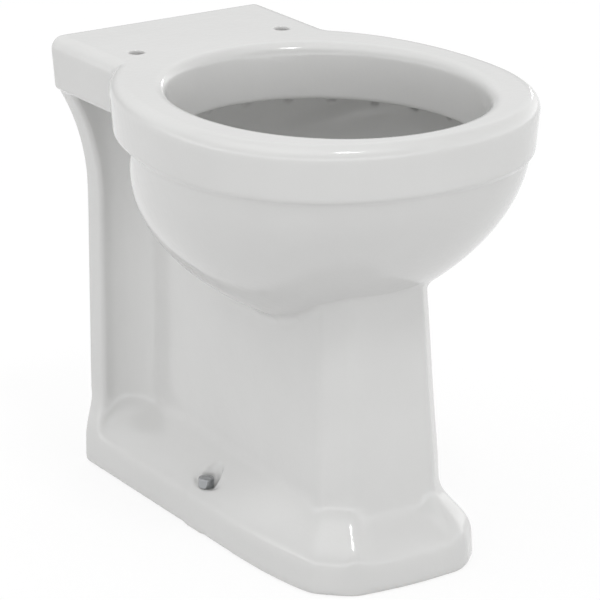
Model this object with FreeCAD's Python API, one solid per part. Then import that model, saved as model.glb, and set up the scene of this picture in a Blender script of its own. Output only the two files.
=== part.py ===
import FreeCAD, Part
import math
import os

# A floor-standing, back-to-wall toilet pan in glazed vitreous china.
# Millimetres. +Z up, the rim's front faces -Y, the wall is the plane y = +DEPTH / 2,
# the floor is z = 0, and the origin is under the middle of the overall box.

V = FreeCAD.Vector

# Overall sizes
DEPTH = 470.0
HEIGHT = 420.0
RIM_WIDTH = 350.0
WALL_Y = DEPTH / 2
FRONT_Y = -DEPTH / 2

# Cast wall thicknesses
WALL = 9.5
BOX_WALL = 9.0
TRAP_WALL = 8.5
BODY_GAP = 1.5

# Rim and seat deck: one hollow box casting with a drafted band
RIM_DEPTH = 51.0
RIM_Z = HEIGHT - RIM_DEPTH
RIM_DRAFT = 3.5
RIM_MID_Y = FRONT_Y + 0.368 * DEPTH
RIM_REAR = 0.485 * DEPTH
RIM_FULLNESS = 0.61
DECK_WIDTH = 229.0
DECK_CORNER = 6.0
CREASE_R = 14.0
TOP_ROUND = 12.0
BAND_ROUND = 5.0

# Opening in the rim
RIM_LAND_SIDE = 39.8
RIM_LAND_FRONT = 30.0
MOUTH_WIDTH = RIM_WIDTH - 2 * RIM_LAND_SIDE
MOUTH_MID_Y = FRONT_Y + 0.394 * DEPTH
MOUTH_FRONT = MOUTH_MID_Y - FRONT_Y - RIM_LAND_FRONT
MOUTH_REAR = 0.323 * DEPTH
MOUTH_FULLNESS = 0.575
MOUTH_REAR_FULLNESS = 0.5523
LIP_IN_SIDE = 1.0
LIP_IN_FRONT = 2.0
LIP_IN_REAR = 8.0
MOUTH_ROUND = 10.0
LIP_ROUND = 3.0

# Holes in the rim casting
SEAT_HOLE_SPACING = 155.0
SEAT_HOLE_D = 14.0
SEAT_HOLE_Y = WALL_Y - 0.2 * DEPTH
SEAT_BOSS_D = 34.0
FLUSH_HOLE_D = 8.0
FLUSH_HOLES = 26
FLUSH_INSET = 2.0
FLUSH_SCALLOP = 9.5

# Bowl: ovals that shrink towards a low point set back from the middle
BOWL_STEP = 6.5
BOWL_DEPTH = 165.0
BOWL_LOW_Z = RIM_Z - BOWL_DEPTH
BOWL_LOW_Y = FRONT_Y + 0.432 * DEPTH
BOWL_REAR = 0.3866 * DEPTH
BOWL_FRONT_TAPER = -0.1
BOWL_REAR_TAPER = 0.3
BOWL_POWER = 2.1
BOWL_BLUNT = 1.5
BOWL_FULLNESS = 0.60
BOWL_LEVELS = (0.0, 0.15, 0.30, 0.45, 0.60, 0.72, 0.82, 0.90, 0.96)

# Sump below the bowl and the trap behind it
TRAP_BORE = 53.0
TRAP_BEND_R = 55.0
TRAP_SLOPE = 60.0
SEAL_DEPTH = 50.0
SUMP_FRONT = 26.0
SUMP_REAR = 57.0
SUMP_FRONT_Y = BOWL_LOW_Y - SUMP_FRONT
SUMP_REAR_Y = BOWL_LOW_Y + SUMP_REAR
NECK_RISE = 14.0
NECK_Z = BOWL_LOW_Z + NECK_RISE
NECK_SPREAD = 0.3

# Outlet spigot to the soil pipe
OUTLET_Z = 185.0
OUTLET_D = 102.0
OUTLET_BORE = 82.0
OUTLET_LENGTH = 24.0
OUTLET_BACK = 1.0
OUTLET_CLEAR = 2.5

# Flush inlet horn under the deck
HORN_DROP = 44.0
HORN_Z = RIM_Z - HORN_DROP
HORN_BORE = 54.0
HORN_WALL = 8.0
HORN_LENGTH = 91.0
HORN_BACK = 2.0
HORN_SOCKET = 36.0
HORN_STEP = 2.5
RISER_OUT = 61.0
RISER_Y = WALL_Y - RISER_OUT
RISER_BORE = 42.0

# Pedestal: wall flange, web, front column with canted corners, and spreading foot
FLANGE_HALF = 77.0
FLANGE_DEPTH = 24.0
FLANGE_EDGE_R = 5.0
FLARE_DROP = 104.0
FLARE_Z = RIM_Z - FLARE_DROP
FLARE_R = 202.0
WAIST_HALF = 42.5
COVE_OUT = 65.0
COVE_FRONT_Y = WALL_Y - COVE_OUT
COLUMN_HALF_TOP = 51.5
COLUMN_HALF_FOOT = 66.7
COLUMN_BACK_TOP = 96.0
COLUMN_BACK_FOOT = 73.0
COLUMN_FRONT_TOP = FRONT_Y + COLUMN_BACK_TOP
COLUMN_FRONT_FOOT = FRONT_Y + COLUMN_BACK_FOOT
COLUMN_CANT = 19.5
COLUMN_EDGE = 6.0
FOOT_HALF_REAR = 85.0
FOOT_HALF_WIDEST = 96.0
FOOT_WIDEST_BACK = 173.0
FOOT_WIDEST_Y = FRONT_Y + FOOT_WIDEST_BACK
FOOT_CANT_HALF = 84.0
FOOT_CANT_BACK = 73.5
FOOT_CANT_Y = FRONT_Y + FOOT_CANT_BACK
FOOT_CANT = 22.0
FOOT_CORNER = 8.5
FOOT_NOSE = 4.2
FOOT_BOW = 3.0
FOOT_LOW_Z = 26.0
FOOT_HIGH_Z = 72.0
FOOT_FRONT_HIGH_Z = 61.0
FOOT_EAR = 12.0
FOOT_DRAFT = 0.05
ARC = 0.5523
EDGE = 0.64

# Floor fixings
FIX_X = 76.8
FIX_Y = 29.2
SEAT_Z = 38.5
SPOT_D = 24.0
SPOT_TAPER = 12.0
BOSS_D = SPOT_D + 2 * WALL
FIX_HOLE_D = 9.0
BUSH_D = 8.6
BUSH_BORE = 6.0
BUSH_FLANGE_H = 1.6
SCREW_D = 5.5
SCREW_HEAD_D = 10.0
SCREW_HEAD_H = 3.2
SLOT_W = 1.4
SLOT_DEPTH = 1.6
WASHER_H = 2.2
CAP_D = 14.4
CAP_H = 9.3
CAP_WALL = 1.0
CAP_CLEAR = 0.3
CAP_EDGE = 1.0
WASHER_D = CAP_D - 2 * (CAP_WALL + CAP_CLEAR)
FLOOR_CLEAR = 0.3


def bezier(*points):
    """Edge along a Bezier curve with the given control points."""
    curve = Part.BezierCurve()
    curve.setPoles([V(*p) for p in points])
    return curve.toShape()


def oval(half, front_y, rear_y, mid_y, z, fullness, rear_fullness=None):
    """Closed wire of four Bezier quarters: fullness 0.55 is an ellipse, more is squarer."""
    rear_fullness = rear_fullness or fullness
    f = mid_y + (front_y - mid_y) * fullness
    r = mid_y + (rear_y - mid_y) * rear_fullness
    x = half * fullness
    w = half * rear_fullness
    return Part.Wire([
        bezier((half, mid_y, z), (half, f, z), (x, front_y, z), (0, front_y, z)),
        bezier((0, front_y, z), (-x, front_y, z), (-half, f, z), (-half, mid_y, z)),
        bezier((-half, mid_y, z), (-half, r, z), (-w, rear_y, z), (0, rear_y, z)),
        bezier((0, rear_y, z), (w, rear_y, z), (half, r, z), (half, mid_y, z)),
    ])


def cylinder(radius, x, y, z0, z1):
    """Upright cylinder between two heights."""
    return Part.makeCylinder(radius, z1 - z0, V(x, y, z0))


def along_y(radius, x, z, y0, y1):
    """Level cylinder that runs towards the wall."""
    return Part.makeCylinder(radius, y1 - y0, V(x, y0, z), V(0, 1, 0))


def both_sides(shape):
    """The shape and its mirror image across the middle plane."""
    return [shape, shape.mirror(V(0, 0, 0), V(1, 0, 0))]


def edges_where(shape, test):
    """Edges whose bounding box passes the test."""
    return [e for e in shape.Edges if test(e.BoundBox)]


def level_at(z):
    """Test for edges that lie in one level plane."""
    return lambda b: abs(b.ZMin - z) < 0.01 and abs(b.ZMax - z) < 0.01


def behind_wall():
    """Block that fills the space behind the wall plane."""
    return Part.makeBox(2 * RIM_WIDTH, DEPTH, 2 * HEIGHT, V(-RIM_WIDTH, WALL_Y, -HEIGHT / 2))


# Rim casting

def rim_oval(inset, z):
    """Outline of the rim's band, drawn in by inset."""
    return oval(RIM_WIDTH / 2 - inset, FRONT_Y + inset, RIM_MID_Y + RIM_REAR - inset,
                RIM_MID_Y, z, RIM_FULLNESS)


def deck_box(inset, back, z):
    """Outline of the seat deck, drawn in by inset at the sides and by back at the wall."""
    half = DECK_WIDTH / 2 - inset
    corners = [(-half, RIM_MID_Y), (half, RIM_MID_Y), (half, WALL_Y - back), (-half, WALL_Y - back)]
    return Part.makePolygon([V(x, y, z) for x, y in corners + corners[:1]])


def mouth_oval(grow, depth, z):
    """Outline of the opening at a depth below the rim's top, widened by grow."""
    t = depth / RIM_DEPTH
    return oval(MOUTH_WIDTH / 2 - LIP_IN_SIDE * t + grow,
                MOUTH_MID_Y - MOUTH_FRONT + LIP_IN_FRONT * t - grow,
                MOUTH_MID_Y + MOUTH_REAR - LIP_IN_REAR * t + grow,
                MOUTH_MID_Y, z, MOUTH_FULLNESS, MOUTH_REAR_FULLNESS)


def mouth_cut(grow, z0, z1):
    """Solid that fills the opening between two heights."""
    return Part.makeLoft([mouth_oval(grow, HEIGHT - z0, z0), mouth_oval(grow, HEIGHT - z1, z1)],
                         True, True)


def rim_block():
    """Band and deck as one drafted solid, at full width where the top's rounding starts."""
    swell = -RIM_DRAFT * TOP_ROUND / (RIM_DEPTH - TOP_ROUND)
    ring = Part.makeLoft([rim_oval(RIM_DRAFT, RIM_Z), rim_oval(swell, HEIGHT)], True, True)
    deck = Part.makeLoft([deck_box(RIM_DRAFT, -WALL, RIM_Z), deck_box(swell, -WALL, HEIGHT)], True, True)
    block = ring.fuse(deck).cut(behind_wall()).removeSplitter()
    crease = edges_where(block, lambda b: b.ZLength > RIM_DEPTH - 1 and b.XMin * b.XMax > 0
                         and 0 < b.YMin and b.YMax < WALL_Y - 1)
    block = block.makeFillet(CREASE_R, crease)
    return block.makeFillet(TOP_ROUND, edges_where(block, is_rim_edge(HEIGHT)))


def is_rim_edge(z):
    """Test for the rim's outer edges at a level, without those on the wall plane."""
    return lambda b: level_at(z)(b) and b.YMin < WALL_Y - 1


def is_wall_edge(b):
    """Test for the side and top edges of the deck's back, which take the small corner rounding."""
    return b.YMin > WALL_Y - 0.01 and b.ZMax > RIM_Z + 1


def rim_channel():
    """Water channel: the inside of the box rim and deck, less the seat-hole bosses."""
    z0 = RIM_Z + BOX_WALL
    z1 = HEIGHT - BOX_WALL
    inset = BOX_WALL + RIM_DRAFT
    ring = Part.Face(rim_oval(inset, z0)).extrude(V(0, 0, z1 - z0))
    deck = Part.Face(deck_box(inset, BOX_WALL, z0)).extrude(V(0, 0, z1 - z0))
    channel = ring.fuse(deck).cut(mouth_cut(BOX_WALL, RIM_Z, HEIGHT))
    for boss in both_sides(cylinder(SEAT_BOSS_D / 2, SEAT_HOLE_SPACING / 2, SEAT_HOLE_Y, RIM_Z, HEIGHT)):
        channel = channel.cut(boss)
    return channel


def flush_drills():
    """Upright drills along the bowl's inner wall: each opens the channel and scallops the wall."""
    wall = oval(*bowl_size(0, WALL - FLUSH_INSET), RIM_Z, BOWL_FULLNESS)
    right = Part.Wire(Part.__sortEdges__(edges_where(wall, lambda b: b.XMin > -0.01)))
    drills = [cylinder(FLUSH_HOLE_D / 2, p.x, p.y, RIM_Z - FLUSH_SCALLOP, RIM_Z + BOX_WALL + 1)
              for p in right.discretize(FLUSH_HOLES + 1)[1::2]]
    return Part.makeCompound(both_sides(Part.makeCompound(drills)))


def is_mouth_edge(z):
    """Test for the edges round the opening at a level."""
    rear = MOUTH_MID_Y + MOUTH_REAR + 2
    return lambda b: level_at(z)(b) and b.YMin > FRONT_Y + 10 and b.YMax < rear and b.XLength > 20 \
        and abs(b.XMax) < MOUTH_WIDTH / 2 + 1


def rim_casting():
    """Hollow box rim and seat deck, with seat, inlet and flush holes."""
    body = rim_block()
    body = body.makeFillet(DECK_CORNER, edges_where(body, is_wall_edge))
    body = body.makeFillet(BAND_ROUND, edges_where(body, is_rim_edge(RIM_Z)))
    body = body.cut(mouth_cut(0, RIM_Z, HEIGHT))
    body = body.makeFillet(MOUTH_ROUND, edges_where(body, is_mouth_edge(HEIGHT)))
    body = body.makeFillet(LIP_ROUND, edges_where(body, is_mouth_edge(RIM_Z)))
    body = body.cut(rim_channel())
    seat_hole = cylinder(SEAT_HOLE_D / 2, SEAT_HOLE_SPACING / 2, SEAT_HOLE_Y, RIM_Z - 1, HEIGHT + 1)
    for drill in both_sides(seat_hole):
        body = body.cut(drill)
    body = body.cut(cylinder(RISER_BORE / 2, 0, RISER_Y, RIM_Z - 1, RIM_Z + BOX_WALL + 1))
    return body.cut(flush_drills())


# Bowl casting

def bowl_size(level, inset):
    """Half-width, front, rear and middle of the bowl's oval at a level from 0, its top, to 1."""
    size = (1 - level ** BOWL_POWER) ** (1 / BOWL_BLUNT)
    mid_y = RIM_MID_Y + (BOWL_LOW_Y - RIM_MID_Y) * level
    half = RIM_WIDTH / 2 - BOWL_STEP - inset
    front = RIM_MID_Y - FRONT_Y - BOWL_STEP - inset
    rear = BOWL_REAR - inset
    return (half * size, mid_y - front * (1 + BOWL_FRONT_TAPER * level) * size,
            mid_y + rear * (1 + BOWL_REAR_TAPER * level) * size, mid_y)


def bowl_loft(inset, rise, levels):
    """Ovals of the bowl from its top plane down, drawn in by inset and lifted at the low end."""
    wires = []
    for level in levels:
        half, front_y, rear_y, mid_y = bowl_size(level, inset)
        z = RIM_Z - (RIM_Z - BOWL_LOW_Z - rise) * level
        wires.append(oval(half, front_y, rear_y, mid_y, z, BOWL_FULLNESS))
    return wires


def bowl_outside():
    return Part.makeLoft(bowl_loft(0, 0, BOWL_LEVELS), True, False)


def trap_dip_z():
    """Height of the trap's axis where it leaves the sump, from the depth of the water seal."""
    return OUTLET_Z - SEAL_DEPTH - TRAP_BORE


def sump_ovals(grow):
    """Ovals of the sump from its floor up to the neck under the bowl."""
    bore = TRAP_BORE / 2
    floor_z = trap_dip_z() - bore
    rows = [(floor_z, 0.62, 0.70), (floor_z + 0.35 * bore, 0.92, 0.92), (floor_z + bore, 1.0, 1.0)]
    for up in (0.2, 0.4, 0.6, 0.8, 0.9, 1.0):
        spread = 1 + NECK_SPREAD * up ** 4
        rows.append((floor_z + bore + (NECK_Z - floor_z - bore) * up, spread, spread))
    mid_y = (SUMP_FRONT_Y + SUMP_REAR_Y) / 2
    reach = (SUMP_REAR_Y - SUMP_FRONT_Y) / 2
    return [oval(bore * w + grow, mid_y - reach * d - grow, mid_y + reach * min(d, 1.0) + grow, mid_y,
                 z - (grow if i == 0 else 0), BOWL_FULLNESS) for i, (z, w, d) in enumerate(rows)]


def bowl_body():
    """Outside of the bowl, its sump and the socket that the trap starts from."""
    mid_y = (SUMP_FRONT_Y + SUMP_REAR_Y) / 2
    socket = along_y(TRAP_BORE / 2 + TRAP_WALL, 0, trap_dip_z(), mid_y, SUMP_REAR_Y + WALL)
    return bowl_outside().fuse(Part.makeLoft(sump_ovals(WALL - BODY_GAP), True, False)).fuse(socket)


def bowl_casting():
    """Basin shell that narrows to the sump, with a socket for the trap."""
    mid_y = (SUMP_FRONT_Y + SUMP_REAR_Y) / 2
    basin = Part.makeLoft(bowl_loft(WALL, WALL + 3, BOWL_LEVELS[:-1]), True, False)
    sump = Part.makeLoft(sump_ovals(0), True, False)
    funnel = Part.Face(sump_ovals(0)[-1]).extrude(V(0, 0, 2 * WALL))
    shell = bowl_body().cut(basin).cut(sump).cut(funnel)
    shell = shell.cut(along_y(TRAP_BORE / 2, 0, trap_dip_z(), mid_y, SUMP_REAR_Y + WALL + 1))
    return shell.cut(flush_drills())


# Trap casting

def trap_path():
    """Axis of the trap from the sump, up the rise and level to the outlet's flare."""
    y0 = SUMP_REAR_Y + WALL
    z0 = trap_dip_z()
    a = math.radians(TRAP_SLOPE)
    r = TRAP_BEND_R
    p1 = V(0, y0 + r * math.sin(a), z0 + r * (1 - math.cos(a)))
    m1 = V(0, y0 + r * math.sin(a / 2), z0 + r * (1 - math.cos(a / 2)))
    rise = OUTLET_Z - z0 - 2 * r * (1 - math.cos(a))
    p2 = p1 + V(0, rise / math.tan(a), rise)
    p3 = p2 + V(0, r * math.sin(a), r * (1 - math.cos(a)))
    m2 = p3 - V(0, r * math.sin(a / 2), r * (1 - math.cos(a / 2)))
    end = V(0, outlet_start_y(), OUTLET_Z)
    return Part.Wire([Part.Arc(V(0, y0, z0), m1, p1).toShape(), Part.LineSegment(p1, p2).toShape(),
                      Part.Arc(p2, m2, p3).toShape(), Part.LineSegment(p3, end).toShape()])


def outlet_start_y():
    """Where the spigot's full diameter starts."""
    return WALL_Y - OUTLET_BACK - OUTLET_LENGTH


def tube(path, radius):
    """Round bar of one radius along a path."""
    start = path.Vertexes[0].Point
    ring = Part.Wire([Part.makeCircle(radius, start, V(0, 1, 0))])
    return path.makePipeShell([ring], True, False)


def trap_bar(tube_r, outlet_r, over):
    """Solid bar along the trap, flared to the outlet, that ends over past the spigot's end."""
    start = outlet_start_y()
    flare = (OUTLET_D - TRAP_BORE) / 4 - TRAP_WALL / 2
    bell = Part.makeCone(tube_r, outlet_r, flare, V(0, start - flare, OUTLET_Z), V(0, 1, 0))
    spigot = along_y(outlet_r, 0, OUTLET_Z, start, WALL_Y - OUTLET_BACK + over)
    return tube(trap_path(), tube_r).fuse(bell).fuse(spigot)


def trap_body():
    return trap_bar(TRAP_BORE / 2 + TRAP_WALL, OUTLET_D / 2, 0)


def trapway_casting():
    """Swan neck behind the sump that holds the water seal, flared to the outlet spigot."""
    return trap_body().cut(trap_bar(TRAP_BORE / 2, OUTLET_BORE / 2, 1))


# Flush inlet horn

def horn_body():
    """Outside of the flush pipe's socket and of its riser up to the deck."""
    end = WALL_Y - HORN_BACK
    socket = along_y(HORN_BORE / 2 + HORN_WALL, 0, HORN_Z, end - HORN_LENGTH, end)
    return socket.fuse(cylinder(RISER_BORE / 2 + HORN_WALL, 0, RISER_Y, HORN_Z, RIM_Z))


def flush_inlet_horn():
    """Stub for the flush pipe: a socket with a stop inside, and a riser up to the deck."""
    end = WALL_Y - HORN_BACK
    narrow = along_y(HORN_BORE / 2 - HORN_STEP, 0, HORN_Z, end - HORN_LENGTH + HORN_WALL, end)
    socket = along_y(HORN_BORE / 2, 0, HORN_Z, end - HORN_SOCKET, end + 1)
    riser = cylinder(RISER_BORE / 2, 0, RISER_Y, HORN_Z, RIM_Z + 1)
    return horn_body().cut(narrow).cut(socket).cut(riser)


# Pedestal casting

def smooth(t):
    """S-curve from 0 to 1."""
    t = min(max(t, 0.0), 1.0)
    return t * t * (3 - 2 * t)


def foot_share(z, high):
    """How far the outline at z has spread from the stem, 0, to the foot on the floor, 1."""
    lean = min(max(1 - z / FOOT_LOW_Z, 0.0), 1.0)
    return (1 - FOOT_DRAFT) * smooth((high - z) / (high - FOOT_LOW_Z)) + FOOT_DRAFT * lean


def flange_half(z):
    """Half-width at the wall: straight, then an arc out to the deck's underside."""
    h = max(z - FLARE_Z, 0.0)
    return FLANGE_HALF + FLARE_R - math.sqrt(FLARE_R ** 2 - h ** 2)


def stem_points(z, t):
    """Right-hand outline of the stem at z from the wall to the front, drawn in by t."""
    up = z / RIM_Z
    flange = flange_half(z) - t
    waist = WAIST_HALF - t
    side = COLUMN_HALF_FOOT + (COLUMN_HALF_TOP - COLUMN_HALF_FOOT) * up - t
    front = COLUMN_FRONT_FOOT + (COLUMN_FRONT_TOP - COLUMN_FRONT_FOOT) * up + t
    edge_y = WALL_Y - FLANGE_DEPTH + t
    cove_y = COVE_FRONT_Y + t
    lip = flange - FLANGE_EDGE_R
    r = FLANGE_EDGE_R * (1 - ARC)
    cant = COLUMN_CANT - inset_of_cant(t)
    e = COLUMN_EDGE
    f = e * math.sqrt(0.5)
    g = 1 - EDGE
    return [
        [(flange, WALL_Y), (flange, edge_y + FLANGE_EDGE_R)],
        [(flange, edge_y + r), (flange - r, edge_y), (lip, edge_y)],
        [(lip - ARC * (lip - waist), edge_y), (waist, cove_y + ARC * (edge_y - cove_y)), (waist, cove_y)],
        [(side, front + cant + e)],
        [(side, front + cant + e * g), (side - f * g, front + cant - f * g), (side - f, front + cant - f)],
        [(side - cant + f, front + f)],
        [(side - cant + f * g, front + f * g), (side - cant - e * g, front), (side - cant - e, front)],
        [(side - cant - e - FOOT_EAR * share, front) for share in (0.3, 0.7, 1.0)],
    ]


def inset_of_cant(t):
    """How much a 45 degree cant loses when the whole outline is drawn in by t."""
    return t * (2 - math.sqrt(2))


def foot_points(z, t):
    """The same outline spread to the foot: bowed sides, wide cants and a slightly bowed front."""
    def side(y):
        share = (WALL_Y - y) / (WALL_Y - FOOT_WIDEST_Y)
        return FOOT_HALF_REAR + (FOOT_HALF_WIDEST - FOOT_HALF_REAR) * share - t
    rows = [[(side(y), y) for x, y in stretch] for stretch in stem_points(z, t)[:3]]
    widest = side(FOOT_WIDEST_Y)
    x0 = FOOT_CANT_HALF - t
    y0 = FOOT_CANT_Y + t - inset_of_cant(t)
    cant = FOOT_CANT - inset_of_cant(t)
    front = y0 - cant - FOOT_NOSE
    n = FOOT_NOSE
    rows.append([(widest, FOOT_WIDEST_Y)])
    c = FOOT_CORNER
    rows.append([(widest, FOOT_WIDEST_Y - 4.5 * c), (x0 + c, y0 + c), (x0, y0)])
    rows.append([(x0 - cant, y0 - cant)])
    rows.append([(x0 - cant - 0.6 * n, front + 0.4 * n), (x0 - cant - 1.4 * n, front + 0.1 * n),
                 (x0 - cant - 2.5 * n, front)])
    rows.append([(x0 - cant - 2.5 * n - FOOT_EAR * share, front) for share in (0.3, 0.7, 1.0)])
    return rows


def pedestal_section(z, t, drop):
    """Closed outline of the pedestal at z, drawn in by t, with the foot's slope lowered by drop."""
    side = foot_share(z + drop, FOOT_HIGH_Z)
    front = foot_share(z + drop, FOOT_FRONT_HIGH_Z)
    stems = stem_points(z, t)
    feet = foot_points(z, t)
    spread = [[side] * len(stretch) for stretch in stems[:-1]] + [[side, front, front]]
    flat = []
    for stem, foot, shares in zip(stems, feet, spread):
        flat.append([V(a[0] + (b[0] - a[0]) * w, a[1] + (b[1] - a[1]) * w, z)
                     for a, b, w in zip(stem, foot, shares)])
    flat[0][0].y += WALL
    edges = []
    last = flat[0][0]
    for stretch in [flat[0][1:]] + flat[1:]:
        edges.append(bezier(last, *stretch))
        last = stretch[-1]
    mirrored = [e.mirror(V(0, 0, 0), V(1, 0, 0)) for e in edges]
    bow = V(last.x / 3, last.y - FOOT_BOW * front, z)
    edges.append(bezier(last, bow, across(bow), across(last)))
    edges.extend(reversed(mirrored))
    edges.append(Part.LineSegment(across(flat[0][0]), flat[0][0]).toShape())
    return Part.Wire(Part.__sortEdges__(edges))


def across(p):
    """The point mirrored to the other side."""
    return V(-p.x, p.y, p.z)


def pedestal_loft(t, drop, low, high):
    """Skin through the pedestal's sections, closer together where the foot spreads."""
    rise = FLARE_Z - FOOT_HIGH_Z
    levels = [low] + [FOOT_HIGH_Z * i / 12 - drop for i in range(1, 13)]
    levels += [FOOT_HIGH_Z + rise * f for f in (0.06, 0.3, 0.65, 0.97)]
    levels += [FLARE_Z + (high - FLARE_Z) * f for f in (0.2, 0.4, 0.6, 0.8, 1.0)]
    return Part.makeLoft([pedestal_section(z, t, drop) for z in levels], True, False)


def spot_face():
    """Tapered seat that is pressed into the foot's slope over a floor fixing."""
    reach = FOOT_HIGH_Z - SEAT_Z
    wide = SPOT_D / 2 + reach * math.tan(math.radians(SPOT_TAPER))
    return Part.makeCone(SPOT_D / 2, wide, reach, V(FIX_X, FIX_Y, SEAT_Z))


def pedestal_casting():
    """Hollow stem and foot, open below and at the wall, with posts for the floor fixings."""
    outside = pedestal_loft(0, 0, 0, RIM_Z)
    inside = pedestal_loft(WALL, WALL * 0.8, -5, RIM_Z + 5)
    post = cylinder(BOSS_D / 2, FIX_X, FIX_Y, 0, SEAT_Z + BOSS_D)
    room = along_y(OUTLET_D / 2 + OUTLET_CLEAR, 0, OUTLET_Z, outlet_start_y() - OUTLET_CLEAR, WALL_Y + 1)
    posts = [p.common(outside) for p in both_sides(post)]
    body = outside.cut(inside).cut(behind_wall()).cut(room).fuse(posts)
    for cut in both_sides(spot_face()):
        body = body.cut(cut)
    for cut in both_sides(cylinder(FIX_HOLE_D / 2, FIX_X, FIX_Y, -1, SEAT_Z + 1)):
        body = body.cut(cut)
    return body.cut(bowl_body()).cut(trap_body()).cut(horn_body())


# Floor fixings, drawn for the right-hand side

def screw_bush():
    """Nylon bush: a sleeve in the foot's hole with a flange on the spot face."""
    body = cylinder(BUSH_D / 2, FIX_X, FIX_Y, FLOOR_CLEAR, SEAT_Z)
    body = body.fuse(cylinder(WASHER_D / 2, FIX_X, FIX_Y, SEAT_Z, SEAT_Z + BUSH_FLANGE_H))
    return body.cut(cylinder(BUSH_BORE / 2, FIX_X, FIX_Y, -1, SEAT_Z + BUSH_FLANGE_H + 1))


def cap_washer():
    """Collar under the screw head that the cover cap grips."""
    z = SEAT_Z + BUSH_FLANGE_H
    body = cylinder(WASHER_D / 2, FIX_X, FIX_Y, z, z + WASHER_H)
    body = body.makeChamfer(0.5, edges_where(body, level_at(z + WASHER_H)))
    return body.cut(cylinder(BUSH_BORE / 2, FIX_X, FIX_Y, z - 1, z + WASHER_H + 1))


def floor_screw():
    """Screw with a raised round head; its shank stops at the floor."""
    z = SEAT_Z + BUSH_FLANGE_H + WASHER_H
    head = cylinder(SCREW_HEAD_D / 2, FIX_X, FIX_Y, z, z + SCREW_HEAD_H)
    head = head.makeFillet(SCREW_HEAD_H * 0.5, edges_where(head, level_at(z + SCREW_HEAD_H)))
    corner = V(FIX_X - SCREW_HEAD_D / 2, FIX_Y - SLOT_W / 2, z + SCREW_HEAD_H - SLOT_DEPTH)
    slot = Part.makeBox(SCREW_HEAD_D, SLOT_W, SLOT_DEPTH, corner)
    return head.cut(slot).fuse(cylinder(SCREW_D / 2, FIX_X, FIX_Y, FLOOR_CLEAR, z))


def cover_cap():
    """Chromed cup that pushes down over the washer and screw head."""
    z = SEAT_Z + CAP_CLEAR
    cup = cylinder(CAP_D / 2, FIX_X, FIX_Y, z, z + CAP_H)
    cup = cup.makeFillet(CAP_EDGE, edges_where(cup, level_at(z + CAP_H)))
    return cup.cut(cylinder(WASHER_D / 2 + CAP_CLEAR, FIX_X, FIX_Y, z - 1, z + CAP_H - CAP_WALL))


def main():
    right_cap, left_cap = both_sides(cover_cap())
    nodes = {
        "rim_casting": rim_casting(),
        "bowl_casting": bowl_casting(),
        "pedestal_casting": pedestal_casting(),
        "trapway_casting": trapway_casting(),
        "flush_inlet_horn": flush_inlet_horn(),
        "floor_screws": Part.makeCompound(both_sides(floor_screw())),
        "screw_bushes": Part.makeCompound(both_sides(screw_bush())),
        "cap_washers": Part.makeCompound(both_sides(cap_washer())),
        "left_cover_cap": left_cap,
        "right_cover_cap": right_cap,
    }
    os.makedirs("parts", exist_ok=True)
    for name, shape in nodes.items():
        solids = shape.Solids
        piece = solids[0] if len(solids) == 1 else Part.makeCompound(solids)
        piece.exportStep("parts/" + name + ".step")


main()
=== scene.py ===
import bpy
import numpy as np
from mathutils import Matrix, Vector
from mathutils.bvhtree import BVHTree


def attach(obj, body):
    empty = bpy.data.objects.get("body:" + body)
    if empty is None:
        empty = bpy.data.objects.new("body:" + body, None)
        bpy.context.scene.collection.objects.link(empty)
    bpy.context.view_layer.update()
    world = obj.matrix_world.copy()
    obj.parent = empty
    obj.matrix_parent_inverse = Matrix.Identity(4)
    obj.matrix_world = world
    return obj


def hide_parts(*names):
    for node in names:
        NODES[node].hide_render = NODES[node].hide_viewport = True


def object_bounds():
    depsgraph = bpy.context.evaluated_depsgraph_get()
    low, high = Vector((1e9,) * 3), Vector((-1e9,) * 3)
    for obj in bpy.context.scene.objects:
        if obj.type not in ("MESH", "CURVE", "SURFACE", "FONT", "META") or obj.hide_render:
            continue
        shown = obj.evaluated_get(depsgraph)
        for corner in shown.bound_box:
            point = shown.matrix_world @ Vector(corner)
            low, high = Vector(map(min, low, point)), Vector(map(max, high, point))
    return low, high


# A white vitreous china toilet pan with chrome cover caps, on a plain white floor.
# Metres, in the frame of the solids: the front faces -Y, the wall is at +Y, the floor is z = 0.

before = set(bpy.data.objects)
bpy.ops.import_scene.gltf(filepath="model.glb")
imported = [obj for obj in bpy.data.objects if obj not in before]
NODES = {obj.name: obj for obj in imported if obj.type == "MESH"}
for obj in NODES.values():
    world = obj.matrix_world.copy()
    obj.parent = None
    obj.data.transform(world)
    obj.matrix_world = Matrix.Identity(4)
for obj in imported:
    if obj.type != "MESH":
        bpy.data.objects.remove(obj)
CAD_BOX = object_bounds()
MM = 0.001

# China: the castings are stuck together as wet clay, and the fired glaze runs over them as one skin
CASTINGS = ("rim_casting", "bowl_casting", "pedestal_casting", "trapway_casting", "flush_inlet_horn")
# Size of the squares that the skin is made of
GRAIN = 1.5 * MM
# Half of the widest gap between castings that the slip fills
SLIP_FILL = 1.2 * MM
# Joints that are wiped with slip, how far that reaches from the joint, and how often it is wiped
SLIP_JOINTS = (
    ("bowl_casting", "pedestal_casting"),
    ("rim_casting", "pedestal_casting"),
    ("bowl_casting", "trapway_casting"),
    ("pedestal_casting", "trapway_casting"),
    ("rim_casting", "flush_inlet_horn"),
    ("pedestal_casting", "flush_inlet_horn"),
)
SLIP_REACH = 6.0 * MM
SLIP_WIPES = 12
# Behind the column the bowl is run more softly into the web: the joint, how far this reaches, how often
# it is wiped, and between which depths it sets in
WEB_JOINT = (("bowl_casting", "pedestal_casting"),)
WEB_REACH = 16.0 * MM
WEB_WIPES = 60
WEB_FROM = (-110.0 * MM, -70.0 * MM)
# How often the melted glaze evens out the skin
GLAZE_PASSES = 6
# Share of the way that a wipe moves a point to the mean of its neighbours, and the share that puts the
# skin's volume back
WIPE = 0.5
PUT_BACK = -0.52
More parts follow.
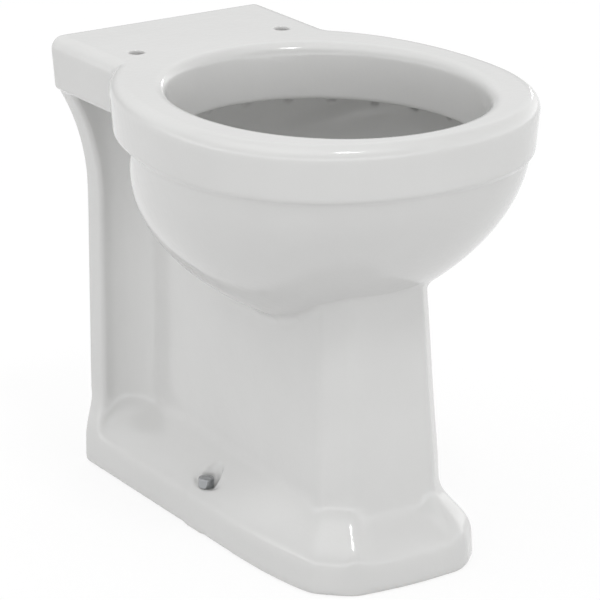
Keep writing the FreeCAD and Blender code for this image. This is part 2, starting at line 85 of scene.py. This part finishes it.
# Foot: its edges are sponged round below this height, but not near the seats of the caps
SPONGE_TOP = 76.0 * MM
SPONGE_FADE = 14.0 * MM
SPONGE_WIPES = 36
SEAT_KEEP = (17.0 * MM, 25.0 * MM)
# Corner between the foot's front and its cant in plan, the way it points, and its rounding
CORNER_AT = (57.8 * MM, -187.7 * MM)
CORNER_OUT = (0.383, -0.924)
CORNER_TURN = np.radians(22.5)
CORNER_ROUND = 60.0 * MM
# Seats of the caps: the clay is pressed flat this far out from a cap's axis, then rises in a dish
SEAT_FLAT = 10.0 * MM
SEAT_RISE = 0.2
SEAT_DISH = 30.0 * MM
SEAT_DEPTH = 12.0 * MM
SEAT_WIPES = 12
# Towards the column the seat isn't pressed: how squarely a point lies that way where this sets in, and
# over what share it fades
SEAT_INWARD = 0.4
SEAT_FADE = 0.6
# Shares of the flat seat between which the wiping round it sets in
SEAT_RING = (0.7, 0.9)

# Chrome caps: wall, rounding of the lower lip and of the top's edge, rise of the crown
CAP_WALL = 1.0 * MM
CAP_LIP = 0.4 * MM
CAP_EDGE = 1.3 * MM
CAP_CROWN = 0.35 * MM
# Steps of the lathe round a turn and in a rounding, shares of the top where its crown has a point, the
# pip in its middle, and the angle from which an edge stays sharp
CAP_TURNS = 96
CAP_ROUND_STEPS = 8
CAP_TOP = (0.8, 0.6, 0.4, 0.2)
CAP_PIP = 0.05
CAP_SHARP = np.radians(40)

# Camera, from the photograph's perspective
CAMERA_AT = Vector((-1.8751, -2.8765, 1.3670))
CAMERA_TO = Vector((0.5186, 0.7940, -0.3173))
PHOTO_PX = 600
FOCAL_PX = 4044.9
CENTRE_PX = (298.4, 292.2)
SENSOR_MM = 36.0
CLIP_FAR = 60.0

# Light: how bright the room is at four heights below its ceiling, then the walls that differ from this,
# with the way they lie and how bright they are at the same heights
ROOM = (0.45, 1.00, 1.12, 0.85)
WALLS = (
    ((-0.35, -0.94, 0.0), 2.85, 0.30, 0.35, 1.30),
    ((-1.0, 0.1, 0.0), 2.45, 0.55, 0.65, 1.60),
    ((1.0, -0.2, 0.0), 1.90, 1.25, 0.68, 0.40),
)
CEILING = 1.10
# Sines of the elevations of those heights and of the ceiling
ROOM_RISE = (0.06, 0.30, 0.58, 0.84, 1.0)
# The ramps hold values up to 1, so the room is drawn this much darker and lit up again
ROOM_SCALE = 4.0
# How squarely a direction faces a wall where that wall's light sets in and where it is full
WALL_EDGE = (0.40, 0.90)
# Lamps: the way they lie, their size and their power in watts, then how far off they are and what they
# point at. The softbox hangs high in front. The right lamp stands low behind the pan and gives glints on
# the edges there.
LAMPS = (
    ("softbox", (-0.100, -0.490, 0.866), 1.0, 50.0),
    ("right_lamp", (0.75, 0.64, 0.20), 0.25, 14.0),
)
LAMP_FAR = 6.0
LAMP_TO = Vector((0.0, 0.0, 0.2))
# Floor: half its width, the share of the light that it throws back onto the pan, and the share of it that
# shows as plain white, with the shadow in the rest
FLOOR_REACH = 12.0
FLOOR_BOUNCE = 0.65
FLOOR_WHITE = 0.85


def linear(code):
    """Linear RGBA of an sRGB hex colour."""
    parts = [int(code[i:i + 2], 16) / 255 for i in (1, 3, 5)]
    return tuple(c / 12.92 if c <= 0.04045 else ((c + 0.055) / 1.055) ** 2.4 for c in parts) + (1.0,)


def grey(level):
    """A grey of a linear level."""
    return (level, level, level, 1.0)


def add(tree, kind, settings=None, links=None):
    """A node of a kind, with its settings and inputs set and its inputs linked."""
    node = tree.nodes.new(kind)
    for name, value in (settings or {}).items():
        if name == "stops":
            elements = node.color_ramp.elements
            while len(elements) < len(value):
                elements.new(1.0)
            for element, (place, colour) in zip(elements, value):
                element.position = place
                element.color = colour
        elif isinstance(name, int) or name in node.inputs:
            node.inputs[name].default_value = value
        else:
            setattr(node, name, value)
    for name, output in (links or {}).items():
        tree.links.new(output, node.inputs[name])
    return node


def blank_material(name):
    """A material with an empty node tree."""
    material = bpy.data.materials.new(name)
    material.use_nodes = True
    material.node_tree.nodes.clear()
    return material, material.node_tree


def vitreous_china():
    """Slip-cast vitreous china, sprayed with white glaze and fired. The melted glaze is a clear, glossy
    skin that sags a little, so highlights wander and break up, and the white is faintly cloudy. The faces
    that stood on the kiln shelf or meet the wall are wiped bare, so they are matt and warmer."""
    material, tree = blank_material("glazed_vitreous_china")
    place = add(tree, "ShaderNodeTexCoord").outputs["Object"]
    # Sag of the melted glaze, about 40 mm from crest to crest
    sag = add(tree, "ShaderNodeTexNoise", {"Scale": 1 / (40 * MM), "Detail": 1.0}, {"Vector": place})
    # Orange peel of the spray, drawn at 6 mm so that it shows
    peel = add(tree, "ShaderNodeTexNoise", {"Scale": 1 / (6 * MM), "Detail": 1.5}, {"Vector": place})
    wave = add(tree, "ShaderNodeBump", {"Strength": 0.3, "Distance": 0.5 * MM},
               {"Height": sag.outputs["Fac"]})
    skin = add(tree, "ShaderNodeBump", {"Strength": 0.4, "Distance": 0.25 * MM},
               {"Height": peel.outputs["Fac"], "Normal": wave.outputs["Normal"]})
    # Cloudiness of the white, about 80 mm wide
    cloud = add(tree, "ShaderNodeTexNoise", {"Scale": 1 / (80 * MM), "Detail": 2.0}, {"Vector": place})
    white = add(tree, "ShaderNodeMix", {"data_type": "RGBA", 6: linear("#D0D0CF"), 7: linear("#D6D6D5")},
                {0: cloud.outputs["Fac"]})
    gloss = add(tree, "ShaderNodeMapRange", {"To Min": 0.07, "To Max": 0.16}, {"Value": sag.outputs["Fac"]})
    # Bare clay within 1.5 mm of the floor and of the wall, with a wavering edge
    apart = add(tree, "ShaderNodeSeparateXYZ", None, {"Vector": place})
    waver = add(tree, "ShaderNodeMapRange", {"To Min": -0.5 * MM, "To Max": 0.5 * MM},
                {"Value": peel.outputs["Fac"]})
    ragged = add(tree, "ShaderNodeMath", {"operation": "ADD"},
                 {0: apart.outputs["Z"], 1: waver.outputs["Result"]})
    under = add(tree, "ShaderNodeMapRange", {"From Min": 1.5 * MM, "From Max": 1.0 * MM},
                {"Value": ragged.outputs[0]})
    wall = CAD_BOX[1][1]
    behind = add(tree, "ShaderNodeMapRange", {"From Min": wall - 1.0 * MM, "From Max": wall - 0.5 * MM},
                 {"Value": apart.outputs["Y"]})
    bare = add(tree, "ShaderNodeMath", {"operation": "MAXIMUM"},
               {0: under.outputs["Result"], 1: behind.outputs["Result"]})
    colour = add(tree, "ShaderNodeMix", {"data_type": "RGBA", 7: linear("#D3CEC4")},
                 {0: bare.outputs[0], 6: white.outputs[2]})
    rough = add(tree, "ShaderNodeMix", {"data_type": "FLOAT", 3: 0.75},
                {0: bare.outputs[0], 2: gloss.outputs["Result"]})
    shader = add(tree, "ShaderNodeBsdfPrincipled", {"IOR": 1.52},
                 {"Base Color": colour.outputs[2], "Roughness": rough.outputs[0],
                  "Normal": skin.outputs["Normal"]})
    add(tree, "ShaderNodeOutputMaterial", None, {"Surface": shader.outputs["BSDF"]})
    return material


def chrome_plate():
    """Chrome plate on a drawn brass cap: a dark mirror with faint waves left by the polishing wheel."""
    material, tree = blank_material("chrome_plated_brass")
    place = add(tree, "ShaderNodeTexCoord").outputs["Object"]
    wheel = add(tree, "ShaderNodeTexNoise", {"Scale": 1 / (3 * MM), "Detail": 2.0}, {"Vector": place})
    rough = add(tree, "ShaderNodeMapRange", {"To Min": 0.05, "To Max": 0.12},
                {"Value": wheel.outputs["Fac"]})
    wave = add(tree, "ShaderNodeBump", {"Strength": 0.1, "Distance": 0.05 * MM},
               {"Height": wheel.outputs["Fac"]})
    shader = add(tree, "ShaderNodeBsdfPrincipled", {"Base Color": linear("#A2A4A6"), "Metallic": 1.0},
                 {"Roughness": rough.outputs["Result"], "Normal": wave.outputs["Normal"]})
    add(tree, "ShaderNodeOutputMaterial", None, {"Surface": shader.outputs["BSDF"]})
    return material


def zinc_steel():
    """Zinc-plated steel screws: pale grey and slightly mottled by the plating."""
    material, tree = blank_material("zinc_plated_steel")
    place = add(tree, "ShaderNodeTexCoord").outputs["Object"]
    spangle = add(tree, "ShaderNodeTexNoise", {"Scale": 1 / (2 * MM), "Detail": 3.0}, {"Vector": place})
    tone = add(tree, "ShaderNodeMix", {"data_type": "RGBA", 6: linear("#BDBEBA"), 7: linear("#C9CAC6")},
               {0: spangle.outputs["Fac"]})
    rough = add(tree, "ShaderNodeMapRange", {"To Min": 0.28, "To Max": 0.45},
                {"Value": spangle.outputs["Fac"]})
    shader = add(tree, "ShaderNodeBsdfPrincipled", {"Metallic": 1.0},
                 {"Base Color": tone.outputs[2], "Roughness": rough.outputs["Result"]})
    add(tree, "ShaderNodeOutputMaterial", None, {"Surface": shader.outputs["BSDF"]})
    return material


def moulded_nylon():
    """Moulded natural nylon: a milky satin with the fine texture of the mould."""
    material, tree = blank_material("moulded_nylon")
    place = add(tree, "ShaderNodeTexCoord").outputs["Object"]
    grain = add(tree, "ShaderNodeTexNoise", {"Scale": 1 / (0.8 * MM), "Detail": 2.0}, {"Vector": place})
    tone = add(tree, "ShaderNodeMix", {"data_type": "RGBA", 6: linear("#DEDCD2"), 7: linear("#E6E4DB")},
               {0: grain.outputs["Fac"]})
    skin = add(tree, "ShaderNodeBump", {"Strength": 0.2, "Distance": 0.05 * MM},
               {"Height": grain.outputs["Fac"]})
    shader = add(tree, "ShaderNodeBsdfPrincipled", {"Roughness": 0.45, "IOR": 1.53},
                 {"Base Color": tone.outputs[2], "Normal": skin.outputs["Normal"]})
    add(tree, "ShaderNodeOutputMaterial", None, {"Surface": shader.outputs["BSDF"]})
    return material


def joined_mesh(name, nodes):
    """One mesh that holds copies of the nodes' meshes."""
    points, faces = [], []
    for node in nodes:
        mesh = NODES[node].data
        first = len(points)
        points.extend(tuple(v.co) for v in mesh.vertices)
        faces.extend(tuple(first + i for i in p.vertices) for p in mesh.polygons)
    mesh = bpy.data.meshes.new(name)
    mesh.from_pydata(points, [], faces)
    return mesh


def voxel_copy(mesh, size):
    """The mesh rebuilt as one skin of even quads."""
    blank = bpy.data.objects.new(mesh.name + "_blank", mesh)
    bpy.context.scene.collection.objects.link(blank)
    remesh = blank.modifiers.new("skin", "REMESH")
    remesh.mode = "VOXEL"
    remesh.voxel_size = size
    skin = bpy.data.meshes.new_from_object(blank.evaluated_get(bpy.context.evaluated_depsgraph_get()))
    bpy.data.objects.remove(blank)
    return skin


class Skin:
    """A mesh's points and neighbours as arrays, to move and smooth them."""

    def __init__(self, mesh):
        self.mesh = mesh
        count = len(mesh.vertices)
        self.points = np.empty(count * 3)
        mesh.vertices.foreach_get("co", self.points)
        self.points = self.points.reshape(-1, 3)
        edges = np.empty(len(mesh.edges) * 2, int)
        mesh.edges.foreach_get("vertices", edges)
        edges = edges.reshape(-1, 2)
        self.a = np.concatenate((edges[:, 0], edges[:, 1]))
        self.b = np.concatenate((edges[:, 1], edges[:, 0]))
        self.degree = np.maximum(np.bincount(self.a, minlength=count), 1)

    def mean(self, values):
        """Mean of each point's neighbours."""
        if values.ndim == 1:
            return np.bincount(self.a, values[self.b], len(self.degree)) / self.degree
        return np.stack([self.mean(values[:, i]) for i in range(values.shape[1])], 1)

    def relax(self, share, weight=1.0):
        """Moves each point a share of the way to the mean of its neighbours."""
        self.points += (self.mean(self.points) - self.points) * np.reshape(share * weight, (-1, 1))

    def normals(self):
        """Normals of the mesh as it was last written."""
        normals = np.empty(len(self.points) * 3)
        self.mesh.vertex_normals.foreach_get("vector", normals)
        return normals.reshape(-1, 3)

    def swell(self, distance):
        """Moves each point out along its normal."""
        self.points += self.normals() * distance

    def write(self):
        """Puts the points back into the mesh."""
        self.mesh.vertices.foreach_set("co", self.points.ravel())
        self.mesh.update()


def joint_weight(points, joints, reach):
    """1 on points that lie against both castings of a joint, falling to 0 at the slip's reach."""
    gaps = {}
    for node in sorted({node for joint in joints for node in joint}):
        mesh = NODES[node].data
        corners = [v.co for v in mesh.vertices]
        tree = BVHTree.FromPolygons(corners, [tuple(p.vertices) for p in mesh.polygons])
        near = [tree.find_nearest(p, reach)[3] for p in points]
        gaps[node] = np.array([reach if gap is None else gap for gap in near])
    nearest = np.min([np.maximum(gaps[a], gaps[b]) for a, b in joints], 0)
    return ease(1 - nearest / reach)


def ease(share):
    """Soft step from 0 to 1."""
    share = np.clip(share, 0, 1)
    return share * share * (3 - 2 * share)


def middle(node):
    """Middle of the box round a node."""
    corners = np.array([v.co for v in NODES[node].data.vertices])
    return (corners.min(0) + corners.max(0)) / 2


def sponge_weight(points):
    """1 on the foot, falling to 0 above it and round the seats of the caps."""
    weight = ease((SPONGE_TOP - points[:, 2]) / SPONGE_FADE)
    near, far = SEAT_KEEP
    for node in ("left_cover_cap", "right_cover_cap"):
        apart = np.linalg.norm((points - middle(node))[:, :2], axis=1)
        weight = weight * ease((apart - near) / (far - near))
    return weight


def press_seat(skin, node):
    """Presses the clay down in front of and beside a cap, so that the whole cap stands clear."""
    cap = NODES[node].data.vertices
    level = min(v.co.z for v in cap)
    spot = middle(node)
    apart = (skin.points - spot)[:, :2]
    reach = np.linalg.norm(apart, axis=1)
    # 1 towards the column, where the slope stays as it is
    inward = -np.sign(spot[0]) * apart[:, 0] / np.maximum(reach, GRAIN)
    out = np.maximum(reach - SEAT_FLAT, 0)
    dish = level + SEAT_RISE * out + out * out / (2 * SEAT_DISH)
    over = skin.points[:, 2] - dish
    pressed = (reach < SEAT_FLAT + SEAT_DISH) & (over > 0) & (skin.points[:, 2] < level + SEAT_DEPTH)
    skin.points[:, 2] -= np.where(pressed, over * ease((SEAT_INWARD - inward) / SEAT_FADE), 0)
    inner, outer = SEAT_RING
    ring = ease((reach / SEAT_FLAT - inner) / (outer - inner))
    ring = ring * ease((SEAT_FLAT + SEAT_DISH - reach) / SEAT_DISH)
    ring = np.where(skin.points[:, 2] < level + SEAT_DEPTH, ring, 0)
    for i in range(SEAT_WIPES):
        skin.relax(WIPE, ring)


def round_corners(skin):
    """Rubs the foot's two front corners down to an arc in plan."""
    for side in (-1, 1):
        out = np.array((side * CORNER_OUT[0], CORNER_OUT[1]))
        apart = skin.points[:, :2] - (side * CORNER_AT[0], CORNER_AT[1])
        along = apart @ (-out[1], out[0])
        arc = np.sqrt(np.maximum(CORNER_ROUND ** 2 - along ** 2, 0)) - CORNER_ROUND / np.cos(CORNER_TURN)
        over = np.maximum(apart @ out - arc, 0)
        over = np.where(np.abs(along) < CORNER_ROUND * np.sin(CORNER_TURN), over, 0)
        over = np.where(skin.points[:, 2] < SPONGE_TOP, over, 0)
        skin.points[:, :2] -= over[:, None] * out


def china_body():
    """The fired pan: the castings filled at their joints and covered by one glazed skin."""
    mesh = voxel_copy(joined_mesh("pan_china", CASTINGS), GRAIN)
    skin = Skin(mesh)
    skin.swell(SLIP_FILL)
    skin.write()
    mesh = voxel_copy(mesh, GRAIN)
    skin = Skin(mesh)
    skin.swell(-SLIP_FILL)
    for i in range(GLAZE_PASSES):
        skin.relax(WIPE)
        skin.relax(PUT_BACK)
    weight = joint_weight(skin.points, SLIP_JOINTS, SLIP_REACH)
    for i in range(SLIP_WIPES):
        skin.relax(WIPE, weight)
    weight = joint_weight(skin.points, WEB_JOINT, WEB_REACH)
    weight = weight * ease((skin.points[:, 1] - WEB_FROM[0]) / (WEB_FROM[1] - WEB_FROM[0]))
    for i in range(WEB_WIPES):
        skin.relax(WIPE, weight)
    round_corners(skin)
    for node in ("left_cover_cap", "right_cover_cap"):
        press_seat(skin, node)
    weight = sponge_weight(skin.points)
    for i in range(SPONGE_WIPES):
        skin.relax(WIPE, weight)
    skin.points = np.clip(skin.points, CAD_BOX[0], CAD_BOX[1])
    skin.write()
    for polygon in mesh.polygons:
        polygon.use_smooth = True
    body = bpy.data.objects.new("pan_china", mesh)
    bpy.context.scene.collection.objects.link(body)
    return body


def turned_cap(name, node):
    """A cover cap spun from its solid's sizes: a thin cup with rounded edges and a slightly crowned top."""
    corners = np.array([v.co for v in NODES[node].data.vertices])
    low, high = corners.min(0), corners.max(0)
    centre = (low + high) / 2
    radius = (high[0] - low[0]) / 2
    height = high[2] - low[2]
    under = height - CAP_CROWN - CAP_WALL
    inside = [(CAP_PIP * radius, under), (radius - CAP_WALL, under), (radius - CAP_WALL, 0.0)]
    quarter = np.linspace(0, np.pi / 2, CAP_ROUND_STEPS)
    flat = radius - CAP_LIP
    lip = [(flat + CAP_LIP * np.sin(a), CAP_LIP - CAP_LIP * np.cos(a)) for a in quarter]
    shoulder = height - CAP_CROWN - CAP_EDGE
    flat = radius - CAP_EDGE
    edge = [(flat + CAP_EDGE * np.cos(a), shoulder + CAP_EDGE * np.sin(a)) for a in quarter]
    top = [(flat * r, height - CAP_CROWN * r * r) for r in CAP_TOP]
    rows = inside + lip + edge + top + [(CAP_PIP * radius, height)]
    turns = np.linspace(0, 2 * np.pi, CAP_TURNS, endpoint=False)
    points = []
    for r, z in rows:
        points += [(centre[0] + r * np.cos(a), centre[1] + r * np.sin(a), low[2] + z) for a in turns]
    faces = []
    last = (len(rows) - 1) * CAP_TURNS
    for first in range(0, last, CAP_TURNS):
        for k in range(CAP_TURNS):
            n = (k + 1) % CAP_TURNS
            faces.append((first + k, first + n, first + CAP_TURNS + n, first + CAP_TURNS + k))
    faces.append(tuple(range(CAP_TURNS))[::-1])
    faces.append(tuple(range(last, last + CAP_TURNS)))
    mesh = bpy.data.meshes.new(name)
    mesh.from_pydata(points, [], faces)
    for polygon in mesh.polygons:
        polygon.use_smooth = True
    mesh.set_sharp_from_angle(angle=CAP_SHARP)
    cap = bpy.data.objects.new(name, mesh)
    bpy.context.scene.collection.objects.link(cap)
    return cap


def room_light():
    """Soft light from the whole room, brightest low down in front and at the sides."""
    world = bpy.data.worlds.new("room")
    bpy.context.scene.world = world
    world.use_nodes = True
    tree = world.node_tree
    tree.nodes.clear()
    aim = add(tree, "ShaderNodeTexCoord").outputs["Generated"]
    height = add(tree, "ShaderNodeSeparateXYZ", None, {"Vector": aim}).outputs["Z"]
    level = add(tree, "ShaderNodeVectorMath", {"operation": "MULTIPLY", 1: (1, 1, 0)}, {0: aim})
    flat = add(tree, "ShaderNodeVectorMath", {"operation": "NORMALIZE"}, {0: level.outputs[0]})

    def rise(levels):
        shades = [grey(v / ROOM_SCALE) for v in (*levels, CEILING)]
        ramp = add(tree, "ShaderNodeValToRGB", {"stops": tuple(zip(ROOM_RISE, shades))}, {"Fac": height})
        return ramp.outputs["Color"]

    room = rise(ROOM)
    for wall, *levels in WALLS:
        facing = add(tree, "ShaderNodeVectorMath",
                     {"operation": "DOT_PRODUCT", 1: Vector(wall).normalized()}, {0: flat.outputs[0]})
        share = add(tree, "ShaderNodeMapRange",
                    {"interpolation_type": "SMOOTHSTEP", "From Min": WALL_EDGE[0],
                     "From Max": WALL_EDGE[1]},
                    {"Value": facing.outputs["Value"]})
        mix = add(tree, "ShaderNodeMix", {"data_type": "RGBA"},
                  {0: share.outputs["Result"], 6: room, 7: rise(levels)})
        room = mix.outputs[2]
    glow = add(tree, "ShaderNodeBackground", {"Strength": ROOM_SCALE}, {"Color": room})
    add(tree, "ShaderNodeOutputWorld", None, {"Surface": glow.outputs[0]})


def lamps():
    """A softbox that casts the shadows under the edges, and a small lamp whose glints show on them."""
    for name, aim, size, power in LAMPS:
        data = bpy.data.lights.new(name, "AREA")
        data.shape = "DISK"
        data.size = size
        data.energy = power
        lamp = bpy.data.objects.new(name, data)
        lamp.location = LAMP_TO + Vector(aim).normalized() * LAMP_FAR
        lamp.rotation_euler = Vector(aim).to_track_quat("Z", "Y").to_euler()
        bpy.context.scene.collection.objects.link(lamp)


def paper_floor():
    """Pale paper floor, white where the eye or a mirror sees it, that keeps the pan's soft shadow."""
    mesh = bpy.data.meshes.new("floor")
    far = FLOOR_REACH
    mesh.from_pydata([(-far, -far, 0), (far, -far, 0), (far, far, 0), (-far, far, 0)], [], [(0, 1, 2, 3)])
    floor = bpy.data.objects.new("floor", mesh)
    bpy.context.scene.collection.objects.link(floor)
    material, tree = blank_material("white_paper")
    path = add(tree, "ShaderNodeLightPath").outputs
    mirror = add(tree, "ShaderNodeMath", {"operation": "MAXIMUM"},
                 {0: path["Is Glossy Ray"], 1: path["Is Transmission Ray"]})
    seen = add(tree, "ShaderNodeMath", {"operation": "MAXIMUM"},
               {0: path["Is Camera Ray"], 1: mirror.outputs[0]})
    pale = add(tree, "ShaderNodeBsdfDiffuse", {"Color": grey(FLOOR_BOUNCE)})
    shaded = add(tree, "ShaderNodeBsdfDiffuse", {"Color": grey(1.0)})
    plain = add(tree, "ShaderNodeEmission", {"Color": grey(1.0), "Strength": 1.0})
    white = add(tree, "ShaderNodeMixShader", {0: FLOOR_WHITE},
                {1: shaded.outputs[0], 2: plain.outputs[0]})
    mix = add(tree, "ShaderNodeMixShader", None,
              {0: seen.outputs[0], 1: pale.outputs[0], 2: white.outputs[0]})
    add(tree, "ShaderNodeOutputMaterial", None, {"Surface": mix.outputs[0]})
    mesh.materials.append(material)


def camera():
    """Camera at the photograph's place, aim and framing."""
    data = bpy.data.cameras.new("camera")
    data.sensor_width = SENSOR_MM
    data.lens = FOCAL_PX / PHOTO_PX * SENSOR_MM
    data.shift_x = (PHOTO_PX / 2 - CENTRE_PX[0]) / PHOTO_PX
    data.shift_y = (CENTRE_PX[1] - PHOTO_PX / 2) / PHOTO_PX
    data.clip_end = CLIP_FAR
    eye = bpy.data.objects.new("camera", data)
    eye.location = CAMERA_AT
    eye.rotation_euler = CAMERA_TO.to_track_quat("-Z", "Y").to_euler()
    bpy.context.scene.collection.objects.link(eye)
    bpy.context.scene.camera = eye


def dress(node, material):
    """Gives a node's object one material."""
    mesh = NODES[node].data
    mesh.materials.clear()
    mesh.materials.append(material)


def main():
    bpy.context.scene.view_settings.view_transform = "Standard"
    body = china_body()
    body.data.materials.append(vitreous_china())
    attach(body, "pan")
    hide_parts(*CASTINGS)
    chrome = chrome_plate()
    nylon = moulded_nylon()
    for side in ("left", "right"):
        cap = turned_cap(side + "_chrome_cap", side + "_cover_cap")
        cap.data.materials.append(chrome)
        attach(cap, side + "_cap")
        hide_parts(side + "_cover_cap")
    for node in ("screw_bushes", "cap_washers"):
        dress(node, nylon)
    dress("floor_screws", zinc_steel())
    room_light()
    lamps()
    paper_floor()
    camera()


main()
